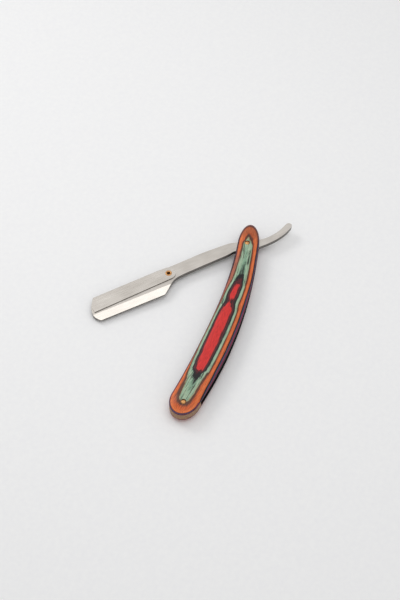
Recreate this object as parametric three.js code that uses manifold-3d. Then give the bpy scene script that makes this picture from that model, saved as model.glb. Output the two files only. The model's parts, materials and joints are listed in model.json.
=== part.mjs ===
// A straight razor that takes half of a double-edged blade, lying open on its side. Two crowned
// scales of dyed laminate are pinned to a wedge. Two steel leaves turn between them on the pivot
// pin, and a folded swing lock holds the leaves together over the blade.
// Millimetres. X runs along the handle from the butt to the pivot end, Y from the bowed side to the
// hollow side, and Z up through the pins. Until the last lines, the pivot pin stands at X = Y = 0.

import * as THREE from 'three';
import { mergeVertices } from 'three/addons/utils/BufferGeometryUtils.js';
import Module from 'manifold-3d';

// Handle: its length comes from the pin spacing and the two overhangs.
const pinSpacing = 119;
const buttOverhang = 7.6;
const pivotOverhang = 15.8;
const bellyWidth = 18;
const buttWidth = 17;
const pivotEndWidth = 13;
const bellyFromButtPin = 35;
const bowFromButtPin = 66;
const bowDepth = 5.3;
const bowRadiusButt = 370;
const bowRadiusPivot = 300;
const buttRounding = 10.5;
const pivotRounding = 15;
const scaleThickness = 3.1;
const scaleRim = 0.8;
const ridgeFlat = 0.12;
const wedgeLength = 13.5;

// Arm, measured from the pivot: towards the head is minus, and the spine is on the plus side.
const openAngle = 44.6;
const leafThickness = 1.2;
const bladeGap = 0.15;
const jawLength = 44.9;
const edgeDrop = 9.4;
const bevelTop = 4.4;
const edgeThickness = 0.35;
const spineRise = 6.95;
const spineTaper = 0.85;
const shankRise = 7.5;
const tailReach = 33;

// Swing lock and its hollow rivet.
const lockSheet = 0.5;
const lockEarRadius = 4.3;
const lockSkirt = 3.3;
const lockFromHeel = 8.4;
const lockPivotRise = 3;
const webSetback = 6.1;
const eyeletBarrel = 1.5;
const eyeletBore = 1.05;
const eyeletFlange = 2;
const eyeletRim = 0.25;

// Pins, collars, washers and pegs.
const pinRadius = 0.8;
const pinHeadRadius = 1.1;
const pinHeadRise = 0.35;
const collarRadius = 1.5;
const collarHeight = 0.5;
const washerRadius = 3;
const pegRadius = 1;
const pegRise = 1;
const pegFromTip = 10;
const pegFromHeel = 5;

// Clearances.
const boreGap = 0.1;
const collarGap = 0.2;
const lockGap = 0.1;
const slotGap = 0.15;
const washerGap = 0.1;
const tipClearance = 7.5;

// How finely round shapes are divided.
const stations = 36;
const rings = 5;
const roundSides = 24;

// What follows from the sizes above.
const armThickness = 2 * leafThickness + bladeGap;
const lockThickness = armThickness + 2 * (lockGap + lockSheet);
const slotHeight = lockThickness + 2 * (eyeletRim + slotGap);
const handleThickness = slotHeight + 2 * scaleThickness;
const middle = handleThickness / 2;
const buttPinX = -pinSpacing;
const buttEndX = buttPinX - buttOverhang;
const pivotEndX = pivotOverhang;
const wedgeFrontX = buttEndX + wedgeLength;
const headReach = -(wedgeFrontX + tipClearance);
const headHeel = headReach - jawLength;
const lockPivotX = lockFromHeel - headHeel;
const webEndX = lockPivotX - webSetback;
const counterbore = collarHeight + pinHeadRise;

const wasm = await Module();
wasm.setup();

// ---------------------------------------------------------------- shared ways of making solids

function toSolid(geometry) {
  const bare = geometry.clone();
  bare.deleteAttribute('normal');
  bare.deleteAttribute('uv');
  const merged = mergeVertices(bare, 1e-4);
  const kept = [];
  for (let i = 0; i < merged.index.count; i += 3) {
    const [a, b, c] = [0, 1, 2].map((k) => merged.index.getX(i + k));
    if (a !== b && b !== c && c !== a) kept.push(a, b, c);
  }
  return new wasm.Manifold(new wasm.Mesh({
    numProp: 3,
    vertProperties: new Float32Array(merged.attributes.position.array),
    triVerts: new Uint32Array(kept),
  }));
}

function toGeometry(solid) {
  const mesh = solid.getMesh();
  const geometry = new THREE.BufferGeometry();
  geometry.setAttribute('position', new THREE.BufferAttribute(mesh.vertProperties, 3));
  geometry.setIndex(new THREE.BufferAttribute(mesh.triVerts, 1));
  geometry.computeVertexNormals();
  return geometry;
}

function prism(shape, bottom, height, curveSegments = 12) {
  const options = { depth: height, bevelEnabled: false, curveSegments };
  return new THREE.ExtrudeGeometry(shape, options).translate(0, 0, bottom);
}

function drill(radius, x, y, bottom, top) {
  const cylinder = new THREE.CylinderGeometry(radius, radius, top - bottom, roundSides);
  return toSolid(cylinder.rotateX(Math.PI / 2).translate(x, y, (bottom + top) / 2));
}

// A profile of [radius, height] corners is turned round an upright axis.
function turned(corners, x, y) {
  const profile = corners.map(([radius, height]) => new THREE.Vector2(radius, height));
  return new THREE.LatheGeometry(profile, roundSides).rotateX(Math.PI / 2).translate(x, y, 0);
}

// The same piece on the other side of the middle plane, with its faces still pointing out.
function mirrored(geometry) {
  const copy = geometry.clone();
  copy.scale(1, 1, -1);
  copy.translate(0, 0, handleThickness);
  const index = copy.index;
  for (let i = 0; i < index.count; i += 3) {
    const first = index.getX(i);
    index.setX(i, index.getX(i + 1));
    index.setX(i + 1, first);
  }
  copy.computeVertexNormals();
  return copy;
}

// ---------------------------------------------------------------- handle

// The centre line is two long arcs that meet at the deepest point of the bow.
function centreY(x) {
  const fromBow = x - (buttPinX + bowFromButtPin);
  const radius = fromBow < 0 ? bowRadiusButt : bowRadiusPivot;
  return -bowDepth + fromBow ** 2 / (2 * radius);
}

function centreSlope(x) {
  const fromBow = x - (buttPinX + bowFromButtPin);
  return fromBow / (fromBow < 0 ? bowRadiusButt : bowRadiusPivot);
}

// The width eases from the belly to both ends, and each end is rounded as part of an ellipse.
function halfWidth(x) {
  const bellyX = buttPinX + bellyFromButtPin;
  const endX = x < bellyX ? buttEndX : pivotEndX;
  const endWidth = x < bellyX ? buttWidth : pivotEndWidth;
  const share = (x - bellyX) / (endX - bellyX);
  const width = endWidth + (bellyWidth - endWidth) * (1 + Math.cos(Math.PI * share)) / 2;
  const intoButt = Math.max(0, 1 - (x - buttEndX) / buttRounding);
  const intoPivot = Math.max(0, 1 - (pivotEndX - x) / pivotRounding);
  return width / 2 * Math.sqrt(Math.max(0, 1 - intoButt ** 2 - intoPivot ** 2));
}

// Stations crowd towards the ends, where the outline turns fastest.
const stationX = [];
for (let i = 0; i <= stations; i += 1) {
  const turn = Math.PI * i / stations;
  const eased = (1 - Math.cos(turn)) / 2;
  stationX.push(THREE.MathUtils.lerp(buttEndX, pivotEndX, eased));
}

// One point of the outline, shrunk towards the ridge of the crown by the share q.
function outlinePoint(x, side, q) {
  const slope = centreSlope(x);
  const reach = side * halfWidth(x) / Math.hypot(1, slope);
  const ridgeX = THREE.MathUtils.clamp(x, buttEndX + buttRounding, pivotEndX - pivotRounding);
  const rimX = x - slope * reach;
  const rimY = centreY(x) + reach;
  return [
    THREE.MathUtils.lerp(ridgeX, rimX, q),
    THREE.MathUtils.lerp(centreY(ridgeX), rimY, q),
  ];
}

function handleOutline() {
  const left = stationX.map((x) => outlinePoint(x, 1, 1));
  const right = stationX.slice(1, -1).map((x) => outlinePoint(x, -1, 1)).reverse();
  return new THREE.Shape([...left, ...right].map(([x, y]) => new THREE.Vector2(x, y)));
}

// A scale: a flat inner face, an upright rim, and a crown that rises as a parabola from the rim to
// a narrow flat along the ridge.
function scaleBlank(innerZ) {
  const around = [];
  for (let i = 0; i < stationX.length; i += 1) around.push([stationX[i], -1]);
  for (let i = stationX.length - 2; i > 0; i -= 1) around.push([stationX[i], 1]);
  const levels = [[1, 0], [1, scaleRim]];
  for (let ring = rings - 1; ring >= 0; ring -= 1) {
    const q = ridgeFlat + (1 - ridgeFlat) * ring / rings;
    const rise = 1 - ((q - ridgeFlat) / (1 - ridgeFlat)) ** 2;
    levels.push([q, scaleRim + (scaleThickness - scaleRim) * rise]);
  }
  levels.push([0, scaleThickness]);
  const positions = [];
  for (const [q, height] of levels) {
    for (const [x, side] of around) positions.push(...outlinePoint(x, side, q), innerZ + height);
  }
  const count = around.length;
  const index = [];
  for (let level = 0; level + 1 < levels.length; level += 1) {
    for (let i = 0; i < count; i += 1) {
      const a = level * count + i;
      const b = level * count + (i + 1) % count;
      index.push(a, b, b + count, a, b + count, a + count);
    }
  }
  for (let i = 0; i < stations; i += 1) {
    const near = [i, i + 1];
    const far = [(count - i) % count, count - i - 1];
    index.push(near[0], far[1], near[1], near[0], far[0], far[1]);
  }
  const geometry = new THREE.BufferGeometry();
  geometry.setAttribute('position', new THREE.Float32BufferAttribute(positions, 3));
  geometry.setIndex(index);
  return geometry;
}

function frontScale() {
  const innerZ = middle + slotHeight / 2;
  let solid = toSolid(scaleBlank(innerZ));
  for (const x of [0, buttPinX]) {
    solid = solid.subtract(drill(pinRadius + boreGap, x, 0, innerZ - 1, handleThickness + 1));
    const seat = handleThickness - counterbore;
    solid = solid.subtract(drill(collarRadius + collarGap, x, 0, seat, handleThickness + 1));
  }
  return toGeometry(solid);
}

function wedge() {
  const bottom = middle - slotHeight / 2;
  const block = toSolid(prism(handleOutline(), bottom, slotHeight));
  const kept = new THREE.BoxGeometry(2 * wedgeLength, 2 * bellyWidth, 2 * slotHeight);
  kept.translate(wedgeFrontX - wedgeLength, 0, middle);
  const hole = drill(pinRadius + boreGap, buttPinX, 0, 0, handleThickness);
  return toGeometry(block.intersect(toSolid(kept)).subtract(hole));
}

// A brass rod whose two ends are peened into low domes over the collars.
function pin(x) {
  const top = handleThickness - pinHeadRise;
  const corners = [[0, 0]];
  for (let step = 1; step <= 4; step += 1) {
    const turn = Math.PI / 8 * step;
    corners.push([pinHeadRadius * Math.sin(turn), pinHeadRise * (1 - Math.cos(turn))]);
  }
  corners.push([pinRadius, pinHeadRise], [pinRadius, top]);
  for (let step = 4; step >= 1; step -= 1) {
    const turn = Math.PI / 8 * step;
    corners.push([pinHeadRadius * Math.sin(turn), top + pinHeadRise * Math.cos(turn)]);
  }
  corners.push([0, handleThickness]);
  return turned(corners, x, 0);
}

function collar(x) {
  const floor = handleThickness - counterbore;
  const corners = [
    [pinRadius + boreGap, floor],
    [collarRadius, floor],
    [collarRadius, floor + collarHeight * 0.4],
    [collarRadius * 0.9, floor + collarHeight * 0.8],
    [pinHeadRadius, floor + collarHeight],
    [pinRadius + boreGap, floor + collarHeight],
    [pinRadius + boreGap, floor],
  ];
  return turned(corners, x, 0);
}

function pivotWasher() {
  const bottom = middle + armThickness / 2 + washerGap;
  const top = middle + slotHeight / 2;
  const corners = [
    [pinRadius + boreGap, bottom],
    [washerRadius, bottom],
    [washerRadius, top],
    [pinRadius + boreGap, top],
    [pinRadius + boreGap, bottom],
  ];
  return turned(corners, 0, 0);
}

// ---------------------------------------------------------------- arm

// The rise of the head's spine at a distance back from the pivot: it falls towards the tip.
function headSpine(x) {
  return spineRise - spineTaper * (-x - headHeel) / (headReach - headHeel);
}

// One leaf, from the tip of its jaw through the shank to the curled tail.
function leafOutline() {
  const tip = -headReach;
  const heel = -headHeel;
  const shape = new THREE.Shape();
  shape.moveTo(tip + 2.9, -edgeDrop);
  shape.lineTo(heel, -edgeDrop);
  shape.splineThru([
    new THREE.Vector2(heel + 3.5, -6.9),
    new THREE.Vector2(heel + 6.6, -4.4),
    new THREE.Vector2(heel + 10, -2.4),
    new THREE.Vector2(heel + 15, -1.4),
    new THREE.Vector2(heel * 0.55, -0.85),
    new THREE.Vector2(-15, -0.4),
    new THREE.Vector2(-8, 0.1),
    new THREE.Vector2(-2, -3),
    new THREE.Vector2(4, -3.5),
    new THREE.Vector2(tailReach - 20, -3.65),
    new THREE.Vector2(tailReach - 13, -3),
    new THREE.Vector2(tailReach - 7, -1.5),
    new THREE.Vector2(tailReach - 1.6, 0.9),
  ]);
  shape.splineThru([
    new THREE.Vector2(tailReach, 2.7),
    new THREE.Vector2(tailReach - 0.7, 4.4),
    new THREE.Vector2(tailReach - 2.3, 4.9),
  ]);
  shape.splineThru([
    new THREE.Vector2(tailReach - 5, 3.8),
    new THREE.Vector2(tailReach - 9, 2.2),
    new THREE.Vector2(tailReach - 14, 1.05),
    new THREE.Vector2(tailReach - 20, 0.8),
    new THREE.Vector2(3, 2.3),
    new THREE.Vector2(-3.5, 5.2),
    new THREE.Vector2(-8, shankRise - 0.6),
    new THREE.Vector2(-15, shankRise),
    new THREE.Vector2(heel * 0.46, shankRise + 0.4),
    new THREE.Vector2(heel * 0.7, shankRise),
    new THREE.Vector2(webEndX + 1.5, shankRise - 0.25),
  ]);
  shape.lineTo(webEndX, headSpine(webEndX));
  shape.lineTo(tip + 4.6, headSpine(tip + 4.6));
  shape.splineThru([
    new THREE.Vector2(tip + 1.2, 1.3),
    new THREE.Vector2(tip, -3.8),
    new THREE.Vector2(tip + 0.8, -6.8),
    new THREE.Vector2(tip + 2.9, -edgeDrop),
  ]);
  return shape;
}

const pegPlaces = [
  [-headReach + pegFromTip, 1.5],
  [-headHeel - pegFromHeel, 1.5],
];

// The front leaf: its outer face is upwards, and the lower border of the jaw is ground to a bevel.
function leafBlank() {
  const bottom = middle + bladeGap / 2;
  const blank = toSolid(prism(leafOutline(), bottom, leafThickness, 6));
  const section = new THREE.Shape([
    new THREE.Vector2(-bevelTop, leafThickness),
    new THREE.Vector2(-edgeDrop, edgeThickness),
    new THREE.Vector2(-edgeDrop - 2, edgeThickness),
    new THREE.Vector2(-edgeDrop - 2, leafThickness + 2),
    new THREE.Vector2(-bevelTop, leafThickness + 2),
  ]);
  const length = headReach + lockPivotX + 6;
  const cutter = new THREE.ExtrudeGeometry(section, { depth: length, bevelEnabled: false });
  cutter.rotateX(Math.PI / 2).rotateZ(Math.PI / 2).translate(-headReach - 3, 0, bottom);
  const barrel = drill(eyeletBarrel + boreGap, lockPivotX, lockPivotRise, 0, handleThickness);
  const pivotBore = drill(pinRadius + boreGap, 0, 0, 0, handleThickness);
  return blank.subtract(toSolid(cutter)).subtract(barrel).subtract(pivotBore);
}

function leaf() {
  let solid = leafBlank();
  for (const [x, y] of pegPlaces) {
    solid = solid.subtract(drill(pegRadius + boreGap, x, y, 0, handleThickness));
  }
  return toGeometry(solid);
}

// A stud that stands in both leaves and takes the notch of the blade.
function peg(x, y) {
  const bottom = middle - bladeGap / 2 - leafThickness;
  const cylinder = new THREE.CylinderGeometry(pegRadius, pegRadius, leafThickness + pegRise, roundSides);
  return cylinder.rotateX(Math.PI / 2).translate(x, y, bottom + (leafThickness + pegRise) / 2);
}

function eyelet() {
  const half = lockThickness / 2;
  const corners = [
    [eyeletBore, middle - half - eyeletRim * 0.5],
    [eyeletBore + 0.3, middle - half - eyeletRim],
    [eyeletFlange - 0.3, middle - half - eyeletRim * 0.8],
    [eyeletFlange, middle - half],
    [eyeletBarrel, middle - half],
    [eyeletBarrel, middle + half],
    [eyeletFlange, middle + half],
    [eyeletFlange - 0.3, middle + half + eyeletRim * 0.8],
    [eyeletBore + 0.3, middle + half + eyeletRim],
    [eyeletBore, middle + half + eyeletRim * 0.5],
    [eyeletBore, middle - half - eyeletRim * 0.5],
  ];
  return turned(corners, lockPivotX, lockPivotRise);
}

// ---------------------------------------------------------------- swing lock

// A cheek of the lock, seen from the side: a long plate under the folded web, ending in a round ear.
function lockOutline() {
  const tip = -headReach;
  const fold = lockGap + lockSheet;
  const shape = new THREE.Shape();
  shape.moveTo(tip + 1.5, -lockSkirt);
  shape.lineTo(lockPivotX - 1, lockPivotRise - lockEarRadius);
  shape.absarc(lockPivotX, lockPivotRise, lockEarRadius, -Math.PI / 2, Math.PI / 2, false);
  shape.lineTo(webEndX, headSpine(webEndX) + fold);
  shape.lineTo(tip + 4.8, headSpine(tip + 4.6) + fold);
  shape.splineThru([
    new THREE.Vector2(tip + 1.6, 1.3),
    new THREE.Vector2(tip + 1.5, -lockSkirt),
  ]);
  return shape;
}

function swingLock() {
  const bottom = middle - lockThickness / 2;
  const block = toSolid(prism(lockOutline(), bottom, lockThickness, 8));
  const pastTip = -headReach - 5;
  const pastEar = lockPivotX + 2 * lockEarRadius;
  const inside = new THREE.Shape([
    new THREE.Vector2(pastTip, -edgeDrop),
    new THREE.Vector2(pastEar, -edgeDrop),
    new THREE.Vector2(pastEar, 2 * spineRise),
    new THREE.Vector2(webEndX, 2 * spineRise),
    new THREE.Vector2(webEndX, headSpine(webEndX) + lockGap),
    new THREE.Vector2(pastTip, headSpine(pastTip) + lockGap),
  ]);
  const gap = armThickness + 2 * lockGap;
  const channel = toSolid(prism(inside, middle - gap / 2, gap));
  const bore = drill(eyeletBarrel + boreGap, lockPivotX, lockPivotRise, 0, handleThickness);
  return toGeometry(block.subtract(channel).subtract(bore));
}

// ---------------------------------------------------------------- assembly

const laminate = { color: 0x9c4a2c, roughness: 0.45, metalness: 0 };
const darkWood = { color: 0x6b4a34, roughness: 0.6, metalness: 0 };
const steel = { color: 0xc9c3b8, roughness: 0.32, metalness: 1 };
const brass = { color: 0xc8a257, roughness: 0.28, metalness: 1 };

function piece(name, geometry, finish) {
  const mesh = new THREE.Mesh(geometry, new THREE.MeshStandardMaterial(finish));
  mesh.name = name;
  return mesh;
}

const handle = new THREE.Group();
handle.add(
  piece('front_scale', frontScale(), laminate),
  piece('back_scale', mirrored(frontScale()), laminate),
  piece('wedge', wedge(), darkWood),
  piece('pivot_pin', pin(0), brass),
  piece('butt_pin', pin(buttPinX), brass),
  piece('pivot_collar_front', collar(0), brass),
  piece('pivot_collar_back', mirrored(collar(0)), brass),
  piece('butt_collar_front', collar(buttPinX), brass),
  piece('butt_collar_back', mirrored(collar(buttPinX)), brass),
  piece('pivot_washer_front', pivotWasher(), brass),
  piece('pivot_washer_back', mirrored(pivotWasher()), brass),
);

const arm = new THREE.Group();
arm.rotation.z = THREE.MathUtils.degToRad(-openAngle);
arm.add(
  piece('front_leaf', leaf(), steel),
  piece('back_leaf', mirrored(leaf()), steel),
  piece('blade_peg_tip', peg(...pegPlaces[0]), steel),
  piece('blade_peg_heel', peg(...pegPlaces[1]), steel),
  piece('swing_lock', swingLock(), steel),
  piece('lock_eyelet', eyelet(), brass),
);

// The finished razor stands over the origin: its box is centred in X and Y, and its base is Z = 0.
const razor = new THREE.Group();
razor.add(handle, arm);
razor.updateMatrixWorld(true);
const box = new THREE.Box3().setFromObject(razor, true);
const centre = box.getCenter(new THREE.Vector3());
razor.position.set(-centre.x, -centre.y, -box.min.z);

export default razor;
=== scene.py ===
"""The looks of a folding barber's razor: laminate scales, brass fittings, steel leaves, swing lock.

Everything is in metres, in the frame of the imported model. Sizes given here are in millimetres and
are turned into metres when a mesh is made.
"""
import json
import math

import bmesh
import bpy
import numpy as np
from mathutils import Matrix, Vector


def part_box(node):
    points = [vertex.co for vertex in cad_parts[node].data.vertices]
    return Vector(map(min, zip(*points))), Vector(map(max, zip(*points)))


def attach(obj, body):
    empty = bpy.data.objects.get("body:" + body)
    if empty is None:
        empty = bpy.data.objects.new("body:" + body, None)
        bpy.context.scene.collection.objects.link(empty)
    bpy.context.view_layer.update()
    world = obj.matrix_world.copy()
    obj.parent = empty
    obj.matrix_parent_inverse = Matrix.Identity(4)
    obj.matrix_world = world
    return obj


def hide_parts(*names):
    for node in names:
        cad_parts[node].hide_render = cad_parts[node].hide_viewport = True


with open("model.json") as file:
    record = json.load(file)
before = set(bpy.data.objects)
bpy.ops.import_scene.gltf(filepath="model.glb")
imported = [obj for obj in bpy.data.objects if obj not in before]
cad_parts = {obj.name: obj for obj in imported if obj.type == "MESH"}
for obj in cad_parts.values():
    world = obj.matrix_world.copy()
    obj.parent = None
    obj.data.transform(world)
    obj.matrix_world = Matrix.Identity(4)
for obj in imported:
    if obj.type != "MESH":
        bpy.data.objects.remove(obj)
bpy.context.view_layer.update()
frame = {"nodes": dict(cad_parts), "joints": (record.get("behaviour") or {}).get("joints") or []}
joints = {joint["name"]: joint for joint in frame["joints"]}


# ------------------------------------------------------------------------------ the two scales
# The handle's two sides, cut from a block of dyed veneers pressed together with resin. Each is
# flat inside and crowned outside, so the crown cuts through the sheets and shows them as long
# rings. They are pinned through the wedge and the pivot, and the butt ends just inside the frame's box.

MM = 0.001
pivot = np.array(joints["arm_pivot"]["pos_m"]) / MM
pin_spacing = 119.0
butt_end, pivot_end = -126.57, 15.8
belly_width, butt_width, pivot_width = 18.0, 17.0, 13.0
belly_x = 35.0 - pin_spacing
bow_x = 66.0 - pin_spacing
bow_depth = 5.3
bow_radius_butt, bow_radius_pivot = 370.0, 300.0
butt_rounding, pivot_rounding = 10.5, 15.0
handle_thickness = (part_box("front_scale")[1].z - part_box("back_scale")[0].z) / MM
middle = handle_thickness / 2
scale_thickness = (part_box("front_scale")[1].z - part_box("front_scale")[0].z) / MM
rim_height = 0.8
seat_depth, seat_radius, bore_radius = 0.85, 1.6, 0.9
crown_start, crown_reach, crown_power = 0.30, 0.955, 2.2
rim_corner, inside_corner, inside_reach = 0.45, 0.12, 0.985


def centre_line(x):
    """The bow of the handle: two parabolas that meet at its deepest point, x in mm from the pivot."""
    from_bow = x - bow_x
    radius = np.where(from_bow < 0, bow_radius_butt, bow_radius_pivot)
    return -bow_depth + from_bow ** 2 / (2 * radius), from_bow / radius


def outline(x, side, share):
    """A point of the handle's outline on one side, shrunk towards the ridge by share: the width
    eases as a cosine from the belly to both ends, and the ends are rounded as ellipses."""
    towards_butt = x < belly_x
    end_x = np.where(towards_butt, butt_end, pivot_end)
    end_width = np.where(towards_butt, butt_width, pivot_width)
    ease = (1 + np.cos(np.pi * (x - belly_x) / (end_x - belly_x))) / 2
    width = end_width + (belly_width - end_width) * ease
    into_butt = np.maximum(0, 1 - (x - butt_end) / butt_rounding)
    into_pivot = np.maximum(0, 1 - (pivot_end - x) / pivot_rounding)
    half = width / 2 * np.sqrt(np.maximum(0, 1 - into_butt ** 2 - into_pivot ** 2))
    centre, slope = centre_line(x)
    reach = side * half / np.hypot(1, slope)
    ridge_x = np.clip(x, butt_end + butt_rounding, pivot_end - pivot_rounding)
    ridge_y = centre_line(ridge_x)[0]
    return (ridge_x + (x - slope * reach - ridge_x) * share,
            ridge_y + (centre + reach - ridge_y) * share)


def grid_object(name, points, closed_along, closed_across, sharp=40, caps=False):
    """A mesh over a grid of points in mm: neighbours in both directions are joined by quads, the
    grid is closed on itself where asked, doubled points at seams and poles are merged, and open
    ends can be capped by one face each."""
    rows, columns = points.shape[:2]
    index = np.arange(rows * columns).reshape(rows, columns)
    down = np.roll(index, -1, 0) if closed_along else index[1:]
    here = index if closed_along else index[:-1]
    right = np.roll(here, -1, 1) if closed_across else here[:, 1:]
    under = np.roll(down, -1, 1) if closed_across else down[:, 1:]
    width = right.shape[1]
    quads = np.stack([here[:, :width], right, under, down[:, :width]], -1).reshape(-1, 4)
    faces = [tuple(quad) for quad in quads.tolist()]
    if caps:
        faces += [tuple(index[0].tolist()), tuple(index[-1].tolist())]
    mesh = bpy.data.meshes.new(name)
    mesh.from_pydata((points.reshape(-1, 3) * MM).tolist(), [], faces)
    return finished_object(name, mesh, sharp)


def finished_object(name, mesh, sharp):
    """Merges doubled points, turns every face outwards, and smooths all but the sharp edges."""
    solid = bmesh.new()
    solid.from_mesh(mesh)
    bmesh.ops.remove_doubles(solid, verts=solid.verts, dist=0.002 * MM)
    bmesh.ops.dissolve_degenerate(solid, edges=solid.edges, dist=0.001 * MM)
    bmesh.ops.recalc_face_normals(solid, faces=solid.faces)
    solid.to_mesh(mesh)
    solid.free()
    mesh.shade_smooth()
    mesh.set_sharp_from_angle(angle=math.radians(sharp))
    made = bpy.data.objects.new(name, mesh)
    bpy.context.scene.collection.objects.link(made)
    return made


def turned(name, profile, centre, closed=False, sides=72, sharp=40):
    """A profile of radius and height in mm, turned round an upright axis through centre."""
    angle = np.linspace(0, 2 * np.pi, sides, endpoint=False)[:, None]
    radius, height = np.array(profile, float).T
    points = np.stack([
        centre[0] + radius * np.cos(angle),
        centre[1] + radius * np.sin(angle),
        height + 0 * angle,
    ], -1)
    return grid_object(name, points, True, closed, sharp)


def cut(piece, cutter):
    """Takes the cutter's shape away from the piece, and the cutter from the scene."""
    modifier = piece.modifiers.new("cut", "BOOLEAN")
    modifier.operation = "DIFFERENCE"
    modifier.solver = "EXACT"
    modifier.object = cutter
    graph = bpy.context.evaluated_depsgraph_get()
    result = bpy.data.meshes.new_from_object(piece.evaluated_get(graph))
    piece.modifiers.clear()
    piece.data = result
    bpy.data.objects.remove(cutter)
    result.shade_smooth()
    result.set_sharp_from_angle(angle=math.radians(40))


def scale_surface(name, flip):
    """A scale as one closed grid: stations along the handle, and at each station a loop of share
    and height round the section, which is the flat inside, the rim with its rounded corner, and
    the crown, whose height falls off as a power of the share."""
    turn = np.linspace(0, np.pi, 260)
    stations = butt_end + (pivot_end - butt_end) * (1 - np.cos(turn)) / 2
    crown_turn = np.linspace(crown_start, np.pi - crown_start, 64)
    crown = np.cos(crown_turn) / math.cos(crown_start) * crown_reach
    crown_height = rim_height + (scale_thickness - rim_height) * (1 - np.abs(crown) ** crown_power)
    bend = np.linspace(0, 1, 6)[:-1]
    corner = np.stack([
        (1 - bend) ** 2 + 2 * bend * (1 - bend) + bend ** 2 * crown[0],
        (1 - bend) ** 2 * rim_corner + 2 * bend * (1 - bend) * rim_height + bend ** 2 * crown_height[0],
    ])
    inside = np.linspace(-inside_reach, inside_reach, 16)
    share = np.concatenate([inside, [1.0], corner[0], crown, -corner[0][::-1], [-1.0]])
    height = np.concatenate([
        0 * inside, [inside_corner], corner[1], crown_height, corner[1][::-1], [inside_corner]])
    x, y = outline(stations[:, None], np.sign(share)[None], np.abs(share)[None])
    z = handle_thickness - scale_thickness + height[None] + 0 * x
    if flip:
        z = handle_thickness - z
    piece = grid_object(name, np.stack([x + pivot[0], y + pivot[1], z], -1), False, True)
    outer = 0.0 if flip else handle_thickness
    towards = 1 if flip else -1
    for pin_x in (0, -pin_spacing):
        at = (pivot[0] + pin_x, pivot[1])
        floor = outer + towards * seat_depth
        seat = [(0, outer - towards), (seat_radius, outer - towards), (seat_radius, floor),
                (bore_radius, floor), (bore_radius, outer + 6 * towards), (0, outer + 6 * towards)]
        cut(piece, turned("cutter", seat, at))
    return piece


class Signal:
    """A value, colour or vector inside a material's nodes."""

    def __init__(self, finish, socket):
        self.finish = finish
        self.socket = socket

    def part(self, index):
        """Another output of the same node."""
        return Signal(self.finish, self.socket.node.outputs[index])

    def math(self, operation, first, second):
        return self.finish.math(operation, first, second)

    def __add__(self, other):
        return self.math("ADD", self, other)

    def __radd__(self, other):
        return self.math("ADD", other, self)

    def __sub__(self, other):
        return self.math("SUBTRACT", self, other)

    def __rsub__(self, other):
        return self.math("SUBTRACT", other, self)

    def __mul__(self, other):
        return self.math("MULTIPLY", self, other)

    def __gt__(self, other):
        return self.math("GREATER_THAN", self, other)

    def __lt__(self, other):
        return self.math("LESS_THAN", self, other)

    def __abs__(self):
        return self.math("ABSOLUTE", self, 0)


class Finish:
    """A material that is being put together from nodes."""

    def __init__(self, name, **constants):
        self.material = bpy.data.materials.new(name)
        self.material.use_nodes = True
        self.tree = self.material.node_tree
        self.shader = self.tree.nodes["Principled BSDF"]
        self.surface(**constants)

    def node(self, kind, settings, inputs, output=0):
        """Adds one node: its settings first, then the values or links of its sockets."""
        made = self.tree.nodes.new("ShaderNode" + kind)
        for name, value in settings.items():
            if name == "stops":
                elements = made.color_ramp.elements
                for place, colour in value[2:]:
                    elements.new(place)
                for element, (place, colour) in zip(elements, value):
                    element.position = place
                for element, (place, colour) in zip(elements, value):
                    element.color = (*colour, 1)
            elif name == "interpolation":
                made.color_ramp.interpolation = value
            else:
                setattr(made, name, value)
        for key, value in inputs.items():
            if isinstance(value, Signal):
                self.tree.links.new(value.socket, made.inputs[key])
            else:
                made.inputs[key].default_value = value
        return Signal(self, made.outputs[output])

    def math(self, operation, first, second):
        return self.node("Math", {"operation": operation}, {0: first, 1: second})

    def surface(self, **values):
        """Gives the shader's sockets their values or links: base_color is Base Color."""
        for name, value in values.items():
            socket = self.shader.inputs[name.replace("_", " ").title().replace("Ior", "IOR")]
            if isinstance(value, Signal):
                self.tree.links.new(value.socket, socket)
            else:
                socket.default_value = value

    def place(self):
        """Where a point of the piece is, in mm along each axis of the frame."""
        coordinates = self.node("TexCoord", {}, {}, 3)
        apart = self.node("SeparateXYZ", {}, {0: coordinates})
        return apart * (1 / MM), apart.part(1) * (1 / MM), apart.part(2) * (1 / MM)

    def noise(self, vector, scale, detail=3.0, roughness=0.5):
        return self.node("TexNoise", {}, {
            "Vector": vector, "Scale": scale, "Detail": detail, "Roughness": roughness})

    def vector(self, x, y, z):
        return self.node("CombineXYZ", {}, {0: x, 1: y, 2: z})

    def ramp(self, factor, stops, interpolation="LINEAR"):
        settings = {"stops": stops, "interpolation": interpolation}
        return self.node("ValToRGB", settings, {0: factor})

    def mix(self, factor, first, second, blend="MIX"):
        settings = {"data_type": "RGBA", "blend_type": blend}
        return self.node("Mix", settings, {0: factor, 6: first, 7: second}, 2)

    def bump(self, height, distance, strength=1.0):
        inputs = {"Height": height, "Distance": distance * MM, "Strength": strength}
        return self.node("Bump", {}, inputs)


def dye(red, green, blue):
    """A colour given on the usual 0 to 255 scale, as the linear light that a shader works in."""
    share = np.array([red, green, blue]) / 255
    return tuple(np.where(share <= 0.04045, share / 12.92, ((share + 0.055) / 1.055) ** 2.4))


def grey(value):
    return (value, value, value)


laminate = Finish("dyed_laminate", specular_ior_level=0.22, coat_roughness=0.25)
place_x, place_y, place_z = laminate.place()
along = place_x - pivot[0]
from_bow = along - bow_x
curve_butt, curve_pivot = 1 / (2 * bow_radius_butt), 1 / (2 * bow_radius_pivot)
curve = (from_bow < 0) * (curve_butt - curve_pivot) + curve_pivot
across = place_y - pivot[1] + bow_depth - from_bow * from_bow * curve
depth = middle - abs(place_z - middle)
share_along = (along - butt_end) * (1 / (pivot_end - butt_end))


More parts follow.
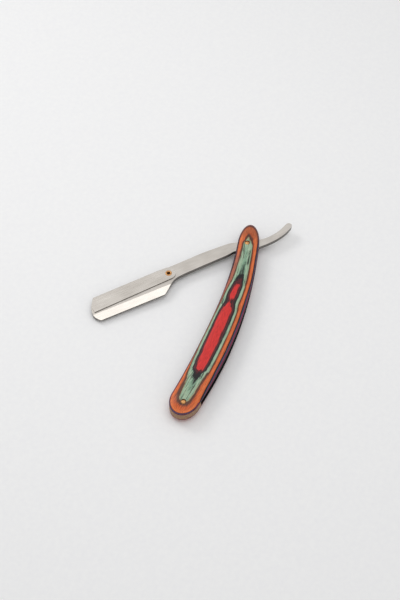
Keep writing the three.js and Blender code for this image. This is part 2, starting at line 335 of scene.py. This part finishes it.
def along_handle(*stops):
    """A value that changes along the handle: each stop is mm from the butt pin, and the value."""
    placed = [((at - butt_end - pin_spacing) / (pivot_end - butt_end), grey(value))
              for at, value in stops]
    return laminate.ramp(share_along, placed, "EASE")


def fade(value, start, end, high=1.0):
    """Falls smoothly from high at start to nothing at end, both in the unit of the value."""
    return laminate.node("MapRange", {"interpolation_type": "SMOOTHSTEP"}, {
        "Value": value, "From Min": start, "From Max": end, "To Min": high, "To Max": 0.0})


# The sheets lean towards the hollow side, dip under the crown at both ends, and thin out there.
lean_hollow = along_handle((0, 0.0), (14, 0.01), (22, 0.05), (32, 0.09), (44, 0.115), (62, 0.115),
                           (76, 0.08), (92, 0.01))
lean_bowed = along_handle((0, 0.0), (16, 0.06), (28, 0.09), (80, 0.09), (96, 0.0))
dip = along_handle((-7, 0.74), (2, 0.7), (8, 0.56), (15, 0.47), (20, 0.36), (24, 0.05), (30, 0.0),
                   (67, 0.0), (74, 0.24), (79, 0.08), (86, 0.1), (90, 0.28), (96, 0.47), (111, 0.54),
                   (117, 0.62), (122, 0.86))
swell = along_handle((-4, 0.9), (6, 0.15), (14, 0.0), (84, 0.0))
shrink = along_handle((80, 0.0), (94, 0.25), (110, 0.4), (132, 0.35))
near_ridge = fade(depth, 0.2, 1.5)
near_rim = 1 - fade(depth, 1.3, 2.8)
rim_line = (1 - fade(depth, 1.8, 2.1)) * laminate.math(
    "MAXIMUM", across > 0, along < 3 - pin_spacing)
long_grain = laminate.vector(along * 0.05, across * 0.45, depth * 0.4)
wander = laminate.noise(long_grain, 1.0, 2.0) - 0.5
fine_grain = laminate.vector(along * 0.30, across * 3.4, place_z * 1.5)
fibre = laminate.noise(fine_grain, 1.0, 4.0, 0.65)
streak_grain = laminate.vector(along * 0.075, across * 1.7, place_z * 0.6)
streak = laminate.noise(streak_grain, 1.0, 3.0, 0.6)
lean = lean_hollow * (across > 0) + lean_bowed * (across < 0)
level = (depth - lean * across + dip * near_ridge + shrink * (1 - near_ridge) - swell * near_rim
         + rim_line * 0.9 + wander * 0.16 + (fibre - 0.5) * 0.16 + (streak - 0.5) * 0.30)

deepest = 3.4
red, dark_red = dye(206, 48, 46), dye(84, 22, 30)
green, pale_green, tan = dye(132, 166, 140), dye(166, 186, 158), dye(168, 160, 122)
rust, brown, orange = dye(120, 60, 36), dye(84, 48, 34), dye(198, 90, 42)
bright_orange, black = dye(222, 118, 66), dye(16, 12, 14)
rose = dye(146, 92, 80)
blue, crimson, violet = dye(58, 72, 110), dye(128, 44, 74), dye(96, 70, 92)
sheets = [(0.00, red), (0.12, red), (0.17, black), (0.23, dark_red), (0.29, dark_red),
          (0.34, black), (0.47, black), (0.52, green), (0.66, pale_green), (0.83, green),
          (0.90, tan), (0.94, brown), (1.08, brown), (1.14, rust), (1.20, orange),
          (1.55, bright_orange), (1.90, orange), (1.96, black), (2.28, black), (2.34, blue),
          (2.52, violet), (2.58, black), (2.66, crimson), (2.98, crimson), (3.04, black)]
sheet_colour = laminate.ramp(
    level * (1 / deepest), [(at / deepest, colour) for at, colour in sheets])
thin_streak = 0.9 - fade(streak, 0.54, 0.60, 0.9)
streaked = laminate.mix(thin_streak * (dip > 0.15) * (level > 0.46) * (level < 0.92),
                        sheet_colour, (*black, 1))
rosy = along_handle((24, 0.0), (36, 0.8), (104, 0.7), (116, 0.0)) * (across > 2)
faded = laminate.mix(rosy * (level > 1.12) * (level < 1.94), streaked, (*rose, 1))
capped = laminate.mix(fade(along, 8, 2, 0.55) * (level > 1.1), faded, (*rust, 1))
fibre_tone = laminate.ramp(fibre, [(0.30, grey(0.42)), (0.47, grey(0.95)), (0.72, grey(1.35))])
laminate.surface(
    base_color=laminate.mix(0.9, capped, fibre_tone, "MULTIPLY"),
    roughness=0.40 + (fibre - 0.5) * 0.3,
    coat_weight=0.10,
    normal=laminate.bump(fibre, 0.05, 0.5))

for scale_name, scale_flip in (("front_scale", False), ("back_scale", True)):
    scale = scale_surface(scale_name + "_laminate", scale_flip)
    scale.data.materials.clear()
    scale.data.materials.append(laminate.material)
    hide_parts(scale_name)
    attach(scale, "handle")


# ------------------------------------------------------------------------------ the wedge
# A spacer of plain brown hardwood at the butt, as thick as the slot. It is cut to the same round
# outline as the scales, and the butt pin holds all three together.

wedge_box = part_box("wedge")
wedge_front = wedge_box[1].x / MM - pivot[0]
wedge_turn = np.linspace(0, np.pi / 2, 60)
wedge_stations = butt_end + (wedge_front - butt_end) * (1 - np.cos(wedge_turn))
wedge_share = np.array([
    0.0, 0.6, inside_reach, 1.0, 1.0, inside_reach, 0.6,
    0.0, -0.6, -inside_reach, -1.0, -1.0, -inside_reach, -0.6])
wedge_rise = np.array([0, 0, 0, 0.1, -0.1, 0, 0, 0, 0, 0, -0.1, 0.1, 0, 0])
wedge_level = np.repeat([wedge_box[0].z, wedge_box[1].z, wedge_box[0].z], [4, 7, 3])
wedge_x, wedge_y = outline(
    wedge_stations[:, None], np.sign(wedge_share)[None], np.abs(wedge_share)[None])
wedge_z = (wedge_level / MM + wedge_rise)[None] + 0 * wedge_x
wedge = grid_object("wedge_wood", np.stack(
    [wedge_x + pivot[0], wedge_y + pivot[1], wedge_z], -1), False, True, caps=True)

hardwood = Finish("brown_hardwood", roughness=0.5)
wood_x, wood_y, wood_z = hardwood.place()
wood_stretch = hardwood.vector(wood_x * 0.25, wood_y * 1.8, wood_z * 3.0)
wood_grain = hardwood.noise(wood_stretch, 1.0, 5.0, 0.6)
hardwood.surface(
    base_color=hardwood.ramp(wood_grain, [
        (0.3, dye(92, 62, 42)), (0.5, dye(150, 112, 78)), (0.72, dye(184, 146, 106))]),
    normal=hardwood.bump(wood_grain, 0.06, 0.6))
wedge.data.materials.append(hardwood.material)
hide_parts("wedge")
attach(wedge, "handle")


# ------------------------------------------------------------------------------ pins and collars
# Two brass rods run right through the handle. Their ends are hammered into low domes over domed
# brass collars, which sit in round seats sunk into the crowns.

pin_radius, head_radius, head_rise = 0.8, 1.15, 0.35
collar_radius, collar_height, collar_bore = 1.5, 0.5, 0.86

brass = Finish("polished_brass", metallic=1.0)
brass_x, brass_y, brass_z = brass.place()
brass_spot = brass.noise(brass.vector(brass_x, brass_y, brass_z), 1.3, 4.0, 0.6)
brass.surface(
    base_color=brass.ramp(brass_spot, [
        (0.3, dye(132, 92, 54)), (0.5, dye(178, 130, 82)), (0.7, dye(200, 154, 102))]),
    roughness=0.26 + brass_spot * 0.2,
    normal=brass.bump(brass_spot, 0.02, 0.5))


def brass_piece(piece, node, body):
    piece.data.materials.append(brass.material)
    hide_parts(node)
    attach(piece, body)


head_turn = np.linspace(0, np.pi / 2, 10)
head_r = head_radius * np.sin(head_turn)
head_z = head_rise * (1 - np.cos(head_turn))
pin_r = np.concatenate([head_r, [pin_radius, pin_radius], head_r[::-1]])
pin_z = np.concatenate([
    head_z, [head_rise + 0.1, handle_thickness - head_rise - 0.1], handle_thickness - head_z[::-1]])
collar_turn = np.linspace(0, np.pi / 2, 9)
collar_r = np.concatenate([[collar_bore], collar_bore + 0.14 + (collar_radius - collar_bore - 0.14)
                           * np.sin(collar_turn), [collar_radius, collar_bore]])
collar_z = np.concatenate([[collar_height], 0.12 + (collar_height - 0.12) * np.cos(collar_turn),
                           [0, 0]])
for pin_name, pin_x in (("pivot", 0), ("butt", -pin_spacing)):
    pin_centre = (pivot[0] + pin_x, pivot[1])
    pin_piece = turned(pin_name + "_pin_brass", np.stack([pin_r, pin_z], -1), pin_centre)
    brass_piece(pin_piece, pin_name + "_pin", "handle")
    for face, seat_z, up in (("front", handle_thickness - seat_depth, 1), ("back", seat_depth, -1)):
        profile = np.stack([collar_r, seat_z + up * collar_z], -1)
        collar_piece = turned(f"{pin_name}_collar_{face}_brass", profile, pin_centre, closed=True)
        brass_piece(collar_piece, f"{pin_name}_collar_{face}", "handle")


# ------------------------------------------------------------------------------ pivot washers
# Two thin brass washers keep the arm in the middle of the slot and let it turn smoothly.

for washer_name in ("pivot_washer_front", "pivot_washer_back"):
    low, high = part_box(washer_name)
    washer_radius = (high.x - low.x) / 2 / MM
    bottom, top, ease = low.z / MM, high.z / MM, 0.06
    washer = turned(washer_name + "_brass", [
        (0.9, bottom + ease), (0.9 + ease, bottom), (washer_radius - ease, bottom),
        (washer_radius, bottom + ease), (washer_radius, top - ease), (washer_radius - ease, top),
        (0.9 + ease, top), (0.9, top - ease)], pivot, closed=True)
    brass_piece(washer, washer_name, "handle")


# ------------------------------------------------------------------------------ the two leaves
# Twin leaves stamped from stainless sheet and riveted together at the lock. Each is one piece
# from the jaw, whose border is ground to a bright bevel, through the shank to the curled tail.

arm_turn = math.radians(44.6)
bevel_top = -4.4
fold_above = 4.0


def from_cad(name, node, width, sharp=35, fold=0.0):
    """A piece with a CAD node's shape: its triangles merged into flat faces, its edges broken. The
    long outer edges on the spine side are rounded by the fold's radius where the sheet is bent."""
    mesh = frame["nodes"][node].data.copy()
    mesh.name = name
    mesh.materials.clear()
    solid = bmesh.new()
    solid.from_mesh(mesh)
    bmesh.ops.remove_doubles(solid, verts=solid.verts, dist=0.001 * MM)
    bmesh.ops.dissolve_limit(solid, angle_limit=math.radians(1), verts=solid.verts, edges=solid.edges)
    if fold:
        weight = solid.edges.layers.float.new("bevel_weight_edge")
        low, high = (corner.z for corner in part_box(node))
        for edge in solid.edges:
            first, second = (corner.co for corner in edge.verts)
            long = (first - second).length > 10 * MM
            outer = min(abs(first.z - low), abs(first.z - high)) < 0.01 * MM
            level_edge = abs(first.z - second.z) < 0.01 * MM
            north = (first.x / MM - pivot[0]) * math.sin(arm_turn)
            north += (first.y / MM - pivot[1]) * math.cos(arm_turn)
            edge[weight] = float(long and outer and level_edge and north > fold_above)
    solid.to_mesh(mesh)
    solid.free()
    mesh.shade_smooth()
    mesh.set_sharp_from_angle(angle=math.radians(sharp))
    made = bpy.data.objects.new(name, mesh)
    bpy.context.scene.collection.objects.link(made)
    if fold:
        bend = made.modifiers.new("fold", "BEVEL")
        bend.width = fold * MM
        bend.segments = 5
        bend.limit_method = "WEIGHT"
    broken = made.modifiers.new("broken_edges", "BEVEL")
    broken.width = width * MM
    broken.segments = 2
    broken.limit_method = "ANGLE"
    broken.angle_limit = math.radians(sharp)
    broken.harden_normals = True
    return made


def arm_place(finish):
    """Distances in mm along the arm from the pivot, towards its spine, and up."""
    x, y, z = finish.place()
    east, north = x - pivot[0], y - pivot[1]
    back = math.cos(arm_turn), math.sin(arm_turn)
    return east * back[0] - north * back[1], east * back[1] + north * back[0], z


def steel_finish(name, brushed, polished, tone):
    """Brushed steel: fine scratches run along the arm, with faint cloudy wear, and painted shade
    darkens the walls that face sideways.
    """
    finish = Finish(name, metallic=1.0)
    arm_x, arm_y, arm_z = arm_place(finish)
    scratch = finish.noise(finish.vector(arm_x * 0.12, arm_y * 5.0, arm_z * 5.0), 1.0, 5.0, 0.7)
    cloud = finish.noise(finish.vector(arm_x * 0.08, arm_y * 0.16, arm_z * 0.1), 1.0, 2.0)
    ground = (arm_y < bevel_top) * polished
    bright = finish.ramp(scratch * 0.6 + cloud * 0.4, [
        (0.3, dye(182 * tone, 176 * tone, 168 * tone)),
        (0.5, dye(203 * tone, 197 * tone, 190 * tone)),
        (0.7, dye(220 * tone, 215 * tone, 208 * tone))])
    # Painted shade: walls that face sideways, such as the sheet edges, get a darker base colour. This
    # stands in for the dim floor they reflect and the shade in the gaps between the sheets.
    facing = finish.node("SeparateXYZ", {}, {0: finish.node("TexCoord", {}, {}, 1)}, 2)
    painted_wall_shade = finish.ramp(abs(facing), [(0.2, grey(0.38)), (0.75, grey(1.0))])
    finish.surface(
        base_color=finish.mix(1.0, bright, painted_wall_shade, "MULTIPLY"),
        roughness=brushed + (scratch - 0.5) * 0.14 - ground * (brushed - 0.25),
        normal=finish.bump(scratch, 0.01, 0.5))
    return finish.material


leaf_steel = steel_finish("brushed_steel", 0.30, 1.0, 0.92)
for leaf_name in ("front_leaf", "back_leaf"):
    leaf = from_cad(leaf_name + "_steel", leaf_name, 0.1)
    leaf.data.materials.append(leaf_steel)
    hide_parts(leaf_name)
    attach(leaf, "arm")


# ------------------------------------------------------------------------------ blade pegs
# Two steel studs stand in the leaves inside the jaw and take the notches of the blade.

for peg_name in ("blade_peg_tip", "blade_peg_heel"):
    low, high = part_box(peg_name)
    peg_radius = (high.x - low.x) / 2 / MM
    bottom, top, ease = low.z / MM, high.z / MM, 0.15
    peg = turned(peg_name + "_steel", [
        (0, bottom), (peg_radius - ease, bottom), (peg_radius, bottom + ease),
        (peg_radius, top - ease), (peg_radius - ease, top), (0, top)],
        ((low.x + high.x) / 2 / MM, (low.y + high.y) / 2 / MM))
    peg.data.materials.append(leaf_steel)
    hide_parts(peg_name)
    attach(peg, "arm")


# ------------------------------------------------------------------------------ lock eyelet
# A hollow brass rivet through the lock and both leaves. Its two ends are rolled over into round
# flanges, and the lock turns on it.

eyelet_low, eyelet_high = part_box("lock_eyelet")
eyelet_centre = ((eyelet_low.x + eyelet_high.x) / 2 / MM, (eyelet_low.y + eyelet_high.y) / 2 / MM)
eyelet_barrel, eyelet_bore, eyelet_flange = 1.5, 1.05, (eyelet_high.x - eyelet_low.x) / 2 / MM
rim_turn = np.linspace(0, np.pi, 11)
rim_r = (eyelet_flange + eyelet_bore) / 2 - (eyelet_flange - eyelet_bore) / 2 * np.cos(rim_turn)
rim_z = 0.25 * np.sin(rim_turn)
lock_low, lock_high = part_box("swing_lock")
lock_bottom, lock_top = lock_low.z / MM, lock_high.z / MM
eyelet_profile = np.concatenate([
    np.stack([rim_r, lock_top + rim_z], -1),
    [(eyelet_barrel, lock_top), (eyelet_barrel, lock_bottom)],
    np.stack([rim_r, lock_bottom - rim_z], -1)[::-1]])
eyelet = turned("lock_eyelet_brass", eyelet_profile, eyelet_centre, closed=True)
brass_piece(eyelet, "lock_eyelet", "arm")


# ------------------------------------------------------------------------------ swing lock
# A plate of thin stainless sheet folded over the spine of both leaves, so that its two cheeks
# clamp them. It ends in round ears that the eyelet holds, and it swings clear to free the blade.

lock_steel = steel_finish("satin_steel", 0.27, 0.0, 0.95)
lock = from_cad("swing_lock_steel", "swing_lock", 0.08, fold=0.45)
lock.data.materials.append(lock_steel)
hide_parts("swing_lock")
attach(lock, "lock")


# ------------------------------------------------------------------------------ table and light
# A plain pale table under the razor, tilted so that the back scale and the tip both rest on it.
# A large soft lamp hangs overhead, and a smaller one stands beyond the razor's hollow side.

table_slope = 0.0467
table_y = -26.4 * MM
table_size = 3.0
corner = np.array([-table_size, table_size])
table_x, table_depth = np.meshgrid(corner, corner)
table_z = table_slope * (table_depth - table_y) - 0.02 * MM
table_mesh = bpy.data.meshes.new("table")
table_mesh.from_pydata(
    np.stack([table_x, table_depth, table_z], -1).reshape(-1, 3).tolist(), [], [(0, 1, 3, 2)])
table = bpy.data.objects.new("table", table_mesh)
bpy.context.scene.collection.objects.link(table)
card = Finish("pale_card", roughness=0.7, specular_ior_level=0.2)
card_x, card_y, card_z = card.place()
card.surface(base_color=card.ramp(
    card.noise(card.vector(card_x, card_y, card_z), 0.4, 3.0),
    [(0.3, dye(242, 242, 243)), (0.7, dye(245, 245, 245))]))
table.data.materials.append(card.material)

aim = np.array([pivot[0] - 43.06, pivot[1] + 16.02, 0]) * MM


def lamp(name, direction, distance, size, watts):
    """A square soft lamp that looks at the razor from a direction."""
    data = bpy.data.lights.new(name, "AREA")
    data.size = size
    data.energy = watts
    made = bpy.data.objects.new(name, data)
    bpy.context.scene.collection.objects.link(made)
    towards = np.array(direction) / np.linalg.norm(direction)
    made.location = (aim + towards * distance).tolist()
    upright = Vector(towards.tolist()).to_track_quat("Z", "Y")
    made.rotation_euler = upright.to_euler()


lamp("overhead_lamp", (0.08, -0.10, 0.99), 0.65, 0.50, 1.05)
lamp("side_lamp", (0.25, 0.66, 0.71), 0.80, 0.30, 1.2)

world = bpy.data.worlds.new("room")
bpy.context.scene.world = world
world.use_nodes = True
room = world.node_tree
paths = room.nodes.new("ShaderNodeLightPath")
shown = paths.outputs["Is Camera Ray"]
for ray in ("Is Glossy Ray", "Is Transmission Ray"):
    either = room.nodes.new("ShaderNodeMath")
    either.operation = "MAXIMUM"
    room.links.new(shown, either.inputs[0])
    room.links.new(paths.outputs[ray], either.inputs[1])
    shown = either.outputs[0]
brightness = room.nodes.new("ShaderNodeMapRange")
brightness.inputs["To Min"].default_value = 0.60
brightness.inputs["To Max"].default_value = 1.0
room.links.new(shown, brightness.inputs["Value"])
room.links.new(brightness.outputs[0], room.nodes["Background"].inputs["Strength"])
room.nodes["Background"].inputs["Color"].default_value = (1, 1, 1, 1)
bpy.context.scene.view_settings.view_transform = "Standard"

camera_data = bpy.data.cameras.new("camera")
camera_data.lens = 75
camera_data.sensor_width = 36
camera_azimuth, camera_elevation, camera_distance = math.radians(-71.18), math.radians(55), 0.75625
back = np.array([
    math.sin(camera_azimuth) * math.cos(camera_elevation),
    -math.cos(camera_azimuth) * math.cos(camera_elevation),
    math.sin(camera_elevation)])
camera = bpy.data.objects.new("camera", camera_data)
bpy.context.scene.collection.objects.link(camera)
camera.location = (aim + back * camera_distance).tolist()
camera.rotation_euler = (math.pi / 2 - camera_elevation, 0, camera_azimuth)
bpy.context.scene.camera = camera
